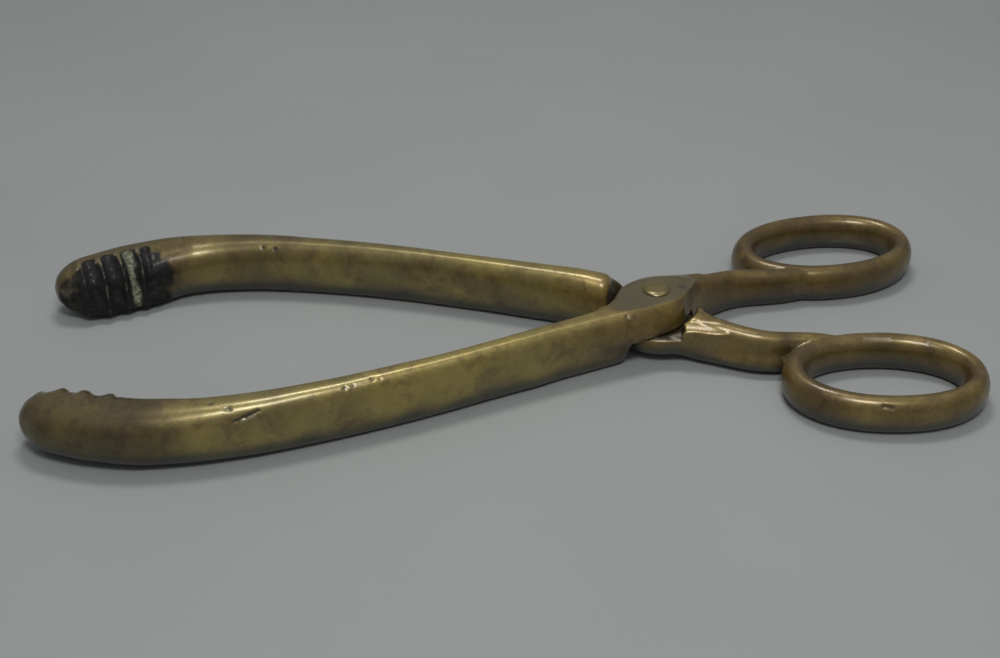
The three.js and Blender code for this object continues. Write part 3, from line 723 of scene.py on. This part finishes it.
# casting flaws, dings and wear, with some painted highlights, each given as (kind, place or line, size, depth, stain,
# shine), where shine is worn bare metal on most marks and a painted highlight on the jaw's ridge tops and on the nicks
# along the near bow's far wall
MARKS = {
    1: [
        ("spot", (-9.9, -11.3, 16.2), 0.62, 0.34, 0.85, 0.0),
        ("spot", (-9.2, -11.7, 15.9), 0.42, -0.04, 0.0, 0.8),
        ("line", ((-9.5, -12.4, 15.0), (-10.2, -13.7, 10.9)), 0.42, 0.10, 0.30, 0.0),
        ("line", ((-111.9, -43.9, 13.4), (-109.4, -43.3, 14.0)), 0.55, 0.32, 0.85, 0.0),
        ("line", ((-109.4, -43.3, 14.0), (-106.0, -42.2, 14.9)), 0.50, 0.28, 0.80, 0.0),
        ("line", ((-110.2, -44.0, 13.1), (-106.8, -43.1, 13.9)), 0.42, -0.05, 0.0, 0.55),
        ("spot", (-113.2, -42.2, 16.0), 1.0, 0.30, 0.55, 0.0),
        ("line", ((-114.4, -42.0, 16.1), (-112.4, -42.4, 15.8)), 0.40, 0.12, 0.4, 0.3),
        ("spot", (-117.6, -40.2, 16.6), 0.9, 0.26, 0.60, 0.0),
        ("spot", (-84.7, -36.1, 15.9), 0.9, 0.25, 0.75, 0.0),
        ("spot", (-82.6, -35.4, 16.0), 0.6, 0.16, 0.60, 0.0),
        ("spot", (-77.9, -33.6, 16.4), 0.8, 0.22, 0.70, 0.0),
        ("spot", (-75.9, -33.4, 16.1), 0.5, 0.15, 0.55, 0.0),
        ("line", ((-84.0, -35.6, 16.2), (-77.5, -34.2, 16.2)), 0.35, 0.06, 0.30, 0.0),
        ("spot", (7.4, 0.7, 17.0), 1.7, 0.03, 0.50, 0.0),
        ("spot", (8.6, -0.3, 17.0), 0.9, 0.02, 0.40, 0.0),
        ("spot", (66.0, 42.4, 4.4), 1.8, 0.03, 0.0, 0.12),
        ("line", ((62.0, 43.2, 3.4), (71.0, 41.0, 3.6)), 0.8, 0.04, 0.0, 0.14),
        ("spot", (36.3, 15.3, 10.9), 2.2, 0.03, 0.30, 0.0),
    ],
    -1: [
        ("spot", (-107.5, 35.0, 15.3), 0.9, 0.22, 0.90, 0.0),
        ("spot", (-104.1, 34.3, 15.1), 1.0, 0.20, 0.90, 0.0),
        ("spot", (-105.6, 34.9, 14.6), 0.5, 0.12, 0.70, 0.0),
        ("line", ((50.0, -47.4, 9.0), (52.2, -47.8, 8.7)), 0.75, 0.26, 0.45, 0.0),
        ("line", ((50.4, -47.8, 8.0), (52.6, -48.0, 7.8)), 0.45, -0.05, 0.0, 0.6),
        ("line", ((40.2, -45.0, 7.4), (40.8, -45.5, 5.4)), 0.40, 0.10, 0.45, 0.0),
        ("line", ((41.8, -45.6, 7.6), (42.3, -46.2, 5.2)), 0.38, 0.10, 0.45, 0.0),
        ("line", ((43.5, -46.3, 7.0), (43.9, -46.8, 5.0)), 0.40, 0.10, 0.45, 0.0),
        # shallow nicks along the top of the near bow's far wall, with painted highlights on them
        ("line", ((53.0, -18.5, 9.9), (59.8, -19.3, 9.8)), 0.50, 0.10, 0.0, 0.35),
        ("spot", (69.6, -22.3, 9.7), 0.7, 0.12, 0.0, 0.4),
        ("spot", (66.4, -21.0, 9.9), 0.5, 0.10, 0.0, 0.4),
        # painted highlights on the tops of the four jaw ridges
        ("spot", (-159.0, 29.0, 14.9), 0.8, 0.0, 0.0, 0.55),
        ("spot", (-154.2, 32.0, 15.1), 0.8, 0.0, 0.0, 0.55),
        ("spot", (-149.2, 35.0, 15.6), 0.8, 0.0, 0.0, 0.55),
        ("spot", (-143.3, 35.6, 15.8), 0.8, 0.0, 0.0, 0.55),
        ("spot", (-162.4, 24.8, 9.8), 2.6, 0.0, 0.0, 0.30),
        ("line", ((-159.4, 25.0, 13.6), (-159.2, 22.6, 6.0)), 0.55, 0.0, 0.0, 0.22),
        ("line", ((-154.3, 28.5, 13.6), (-154.0, 25.0, 5.5)), 0.55, 0.0, 0.0, 0.14),
    ],
}


def place_marks(v, n, values, up):
    """Press the marks into the surface and note where they stain, where they are worn bright and where a highlight is
    painted on them.
    """
    deep = np.zeros(len(v))
    for kind, where, size, depth, stain, wear_and_painted_highlight in MARKS[up]:
        ragged = 1 + 0.22 * waves(v, 1.3, 71)
        if kind == "spot":
            m = bump(v, where, (size, size, size))
        else:
            m = line_mark(v, where[0], where[1], size)
        m = np.clip(m * ragged, 0, 1)
        deep += depth * m
        values["stain"] = np.maximum(values["stain"], stain * np.clip(m * 1.6, 0, 1))
        values["bare_metal_and_painted_highlight"] = np.maximum(values["bare_metal_and_painted_highlight"], wear_and_painted_highlight * np.clip(m * 1.4, 0, 1))
    for k in ("soot",):
        values[k] = values[k] * (1 - np.clip(values["bare_metal_and_painted_highlight"] * 1.15, 0, 1))
    return v - n * deep[:, None], values


LEVERS = {}
for name, side, up, body in (("upper_lever_cast", -1, 1, "upper"), ("lower_lever_cast", 1, -1, "lower")):
    v, q, n, info, values = finish_lever(name, side, up, plan, PITCH)
    zero = np.zeros(len(v))
    values["verdigris"], values["stain"], values["bare_metal_and_painted_highlight"] = zero.copy(), zero.copy(), 0.42 * values["crest"]
    if side > 0:
        # greenish crust in the groove before the last ridge, and in the crease at the bow
        ragged = 0.55 * waves(v, 3.1, 31) + 0.45 * waves(v, 1.4, 32)
        crust = np.clip(1 - (np.abs(info["lean"] + 146.2 + 0.35 * waves(v, 4.5, 33)) / 1.5) ** 2, 0, 1) * step(0.25, -0.1, info["u"] / info["w"]) * step(1.6, 4.0, v[:, 2])
        values["verdigris"] = np.clip(crust * 1.3 + 0.28 * ragged - 0.12, 0, 1) * (crust > 0.02)
        values["verdigris"] = np.maximum(values["verdigris"], np.clip(1.1 * np.exp(-(info["crease"] / 1.7) ** 2) + 0.7 * ragged - 0.55, 0, 0.85) * bump(v, (29.6, -19.0, 8.0), (5.0, 5.5, 5.0)) ** 0.4 * (info["bow"] > -0.3))
        # the strip of the lap that the other lever never covers is filed bright
        values["bare_metal_and_painted_highlight"] += values["seat"] * step(10.1, 10.6, info["rad"]) * (v[:, 1] < 0) * (v[:, 2] > 8.0) * (v[:, 2] < 8.8) * np.clip(0.20 + 0.35 * waves(v, 2.6, 34), 0, 1)
    v, values = place_marks(v, n, values, up)
    LEVERS[name] = (v, q)
    obj = to_object(name, v, q, values)
    obj.data.materials.append(brass_levers)
    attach(obj, body)
    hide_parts(name.replace("_cast", ""))


def build_rivet():
    """The rivet: a low hammered dome above, a flush countersunk end below."""
    prof = [(0.0, 0.0)] + [(r, 0.0) for r in np.linspace(0.4, RIVET_CSK_R - 0.12, 10)]
    prof += [(RIVET_CSK_R - 0.03, 0.03), (RIVET_CSK_R - 0.05, 0.12), (RIVET_R + 0.1, 1.24), (RIVET_R, 1.45)]
    prof += [(RIVET_R, z) for z in np.linspace(2.2, TOP - 0.3, 12)]
    base = TOP + 0.03
    R, H = RIVET_HEAD_R, RIVET_HEAD_H - 0.03
    prof += [(RIVET_R, base), (RIVET_R + 0.5, base), (R - 0.16, base), (R - 0.03, base + 0.08)]
    for t in np.linspace(0.0, 1.0, 26)[1:]:
        a = t * math.pi / 2
        prof.append(((R - 0.01) * math.cos(a) ** 0.75, base + 0.12 + (H * 0.82 - 0.12) * math.sin(a) ** 0.9))
    prof = np.array(prof)
    prof[-1, 0] = 0.0
    count = 96
    rows = prof[1:-1]
    th = np.linspace(0, 2 * np.pi, count, endpoint=False)
    v = np.concatenate([np.stack([r * np.cos(th), r * np.sin(th), np.full(count, z)], 1) for r, z in rows])
    v = np.concatenate([v, [[0, 0, prof[0, 1]], [0, 0, prof[-1, 1]]]])
    # an uneven, peened head, a little off round
    head = step(TOP + 0.05, TOP + 0.4, v[:, 2])
    ang = np.arctan2(v[:, 1], v[:, 0])
    rim = np.clip(np.hypot(v[:, 0], v[:, 1]) / R, 0, 1)
    v[:, 2] += head * (0.05 * waves(v, 3.4, 41) - 0.06 * np.clip(waves(v, 1.7, 42), 0, 1) - 0.02)
    grow = 1 - 0.018 * head * rim * (1 + np.cos(2 * ang + 0.6)) - 0.012 * head * rim * (1 + np.sin(3 * ang))
    v[:, 0] *= grow
    v[:, 1] *= grow
    v[:, 2] = np.minimum(v[:, 2], TOP + RIVET_HEAD_H)
    faces = []
    m = len(rows)
    for i in range(m - 1):
        for a in range(count):
            b = (a + 1) % count
            faces.append((i * count + a, i * count + b, (i + 1) * count + b, (i + 1) * count + a))
    for a in range(count):
        b = (a + 1) % count
        faces.append((m * count, b, a))
        faces.append((m * count + 1, (m - 1) * count + a, (m - 1) * count + b))
    mesh = bpy.data.meshes.new("rivet_peened")
    mesh.from_pydata([tuple(p * 0.001) for p in v], [], faces)
    mesh.validate()
    mesh.shade_smooth()
    obj = bpy.data.objects.new("rivet_peened", mesh)
    bpy.context.scene.collection.objects.link(obj)
    return obj


rivet = build_rivet()
rivet.data.materials.append(brass_rivet)
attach(rivet, "lower")
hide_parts("pivot_rivet")


# ------------------------------------------------------------------ floor, light, camera
def floor_material():
    k = Nodes("pale_floor")
    n = k.noise(0.012, 3, 0.5)
    k.link(k.mix(k.ramp(n, 0.3, 0.7), (0.296, 0.316, 0.316), (0.308, 0.328, 0.328)), k.bsdf.inputs["Base Color"])
    k.bsdf.inputs["Roughness"].default_value = 0.55
    k.bsdf.inputs["Specular IOR Level"].default_value = 0.3
    return k.mat


floor_mesh = bpy.data.meshes.new("floor")
floor_mesh.from_pydata([(-4, -4, -0.00006), (4, -4, -0.00006), (4, 4, -0.00006), (-4, 4, -0.00006)], [], [(0, 1, 2, 3)])
floor = bpy.data.objects.new("floor", floor_mesh)
bpy.context.scene.collection.objects.link(floor)
floor.data.materials.append(floor_material())


def area(name, place, target, size, watts, colour=(1, 1, 1), size_y=None, spread=None):
    data = bpy.data.lights.new(name, "AREA")
    data.energy, data.color = watts, colour
    data.shape = "RECTANGLE"
    data.size, data.size_y = size, size_y or size
    if spread:
        data.spread = math.radians(spread)
    o = bpy.data.objects.new(name, data)
    bpy.context.scene.collection.objects.link(o)
    o.location = place
    d = Matrix.Identity(3)
    from_to = np.array(target, float) - np.array(place, float)
    from mathutils import Vector
    o.rotation_mode = "QUATERNION"
    o.rotation_quaternion = Vector(from_to).to_track_quat("-Z", "Y")
    return o


area("overhead_softbox", (-0.04, 0.17, 0.64), (-0.04, 0.0, 0.0), 0.20, 1.35, (1.0, 0.985, 0.95), 0.12)
area("front_softbox", (-0.02, -0.34, 0.62), (0.0, 0.0, 0.0), 0.20, 1.72, (1.0, 0.985, 0.955), 0.13)

world = bpy.data.worlds.new("studio")
bpy.context.scene.world = world
world.use_nodes = True
wt = world.node_tree
wt.nodes.clear()
w_out = wt.nodes.new("ShaderNodeOutputWorld")
w_bg = wt.nodes.new("ShaderNodeBackground")
w_co = wt.nodes.new("ShaderNodeTexCoord")
w_sep = wt.nodes.new("ShaderNodeSeparateXYZ")
w_ramp = wt.nodes.new("ShaderNodeValToRGB")
wt.links.new(w_co.outputs["Generated"], w_sep.inputs[0])
wt.links.new(w_sep.outputs["Z"], w_ramp.inputs[0])
wt.links.new(w_ramp.outputs[0], w_bg.inputs["Color"])
wt.links.new(w_bg.outputs[0], w_out.inputs[0])
el = w_ramp.color_ramp.elements
el[0].position, el[0].color = 0.0, (0.15, 0.154, 0.158, 1)
el[1].position, el[1].color = 1.0, (0.42, 0.415, 0.40, 1)
mid_el = el.new(0.45)
mid_el.color = (0.215, 0.217, 0.22, 1)
w_bg.inputs["Strength"].default_value = 1.0

# the camera solved for this view: focal length, pitch and place
psi = math.radians(5.162854)
R = np.array([[0.9999964973, -0.0014802355, -0.0021941447], [-0.0026467656, -0.5592600860, -0.8289880282], [0.0, 0.8289909319, -0.5592620449]])
T = np.array([42.50351702, 3.28594684, 428.68748011])
turn = np.array([[math.cos(psi), math.sin(psi), 0], [-math.sin(psi), math.cos(psi), 0], [0, 0, 1]])
place = turn @ (-R.T @ T) * 0.001
right, down, forward = (turn @ R[i] for i in range(3))
cam_data = bpy.data.cameras.new("camera")
cam_data.sensor_fit = "HORIZONTAL"
cam_data.sensor_width = 36.0
cam_data.lens = 1542.04 * 36.0 / 1000.0
cam_data.clip_start, cam_data.clip_end = 0.01, 50
cam = bpy.data.objects.new("camera", cam_data)
bpy.context.scene.collection.objects.link(cam)
m = np.eye(4)
m[:3, 0], m[:3, 1], m[:3, 2], m[:3, 3] = right, -down, -forward, place
cam.matrix_world = Matrix(m.tolist())
bpy.context.scene.camera = cam

bpy.context.scene.view_settings.view_transform = "Standard"
bpy.context.scene.view_settings.look = "None"
